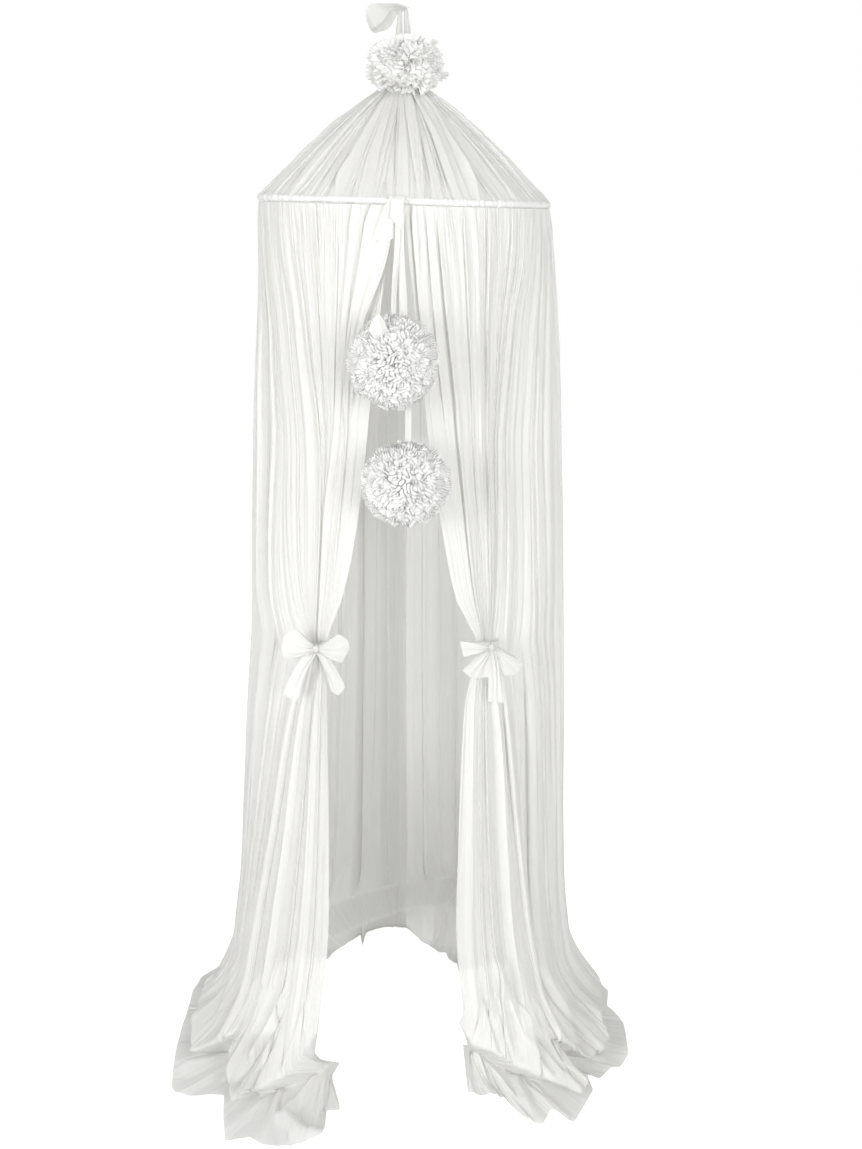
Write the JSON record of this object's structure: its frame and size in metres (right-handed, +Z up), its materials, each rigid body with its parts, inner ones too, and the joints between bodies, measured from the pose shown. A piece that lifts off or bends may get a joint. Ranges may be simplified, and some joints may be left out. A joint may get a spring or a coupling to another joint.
{
  "type": "tulle bed canopy on a hoop",
  "caption": "White tulle bed canopy: gathered cone roof, ruched hoop, long open-fronted panels tied back with bows, ruffled pompoms and a ribbon loop to hang it from.",
  "frame": {"origin": "inside top of the hanging loop, where a hook bears", "axes": "+Z up, -Y out through the open front, +X to the right seen from the front"},
  "size_m": [1.0053, 1.0074, 2.1761],
  "materials": {
    "tulle": "sheer white tulle net",
    "ruffle": "ruffled tulle strips",
    "ribbon": "doubled tulle ribbon",
    "hoop_plastic": "smooth white plastic"
  },
  "bodies": {
    "root": {"hoop": "hoop_plastic", "hoop_sleeve": "tulle", "roof": "tulle", "panel_left": "tulle", "panel_right": "tulle", "bow_left": "ribbon", "bow_right": "ribbon", "pompom_upper": "ruffle", "pompom_lower": "ruffle", "pompom_top": "ruffle", "ribbon_short": "ribbon", "ribbon_long": "ribbon", "front_tie": "ribbon", "hanging_loop": "ribbon"}
  },
  "joints": []
}
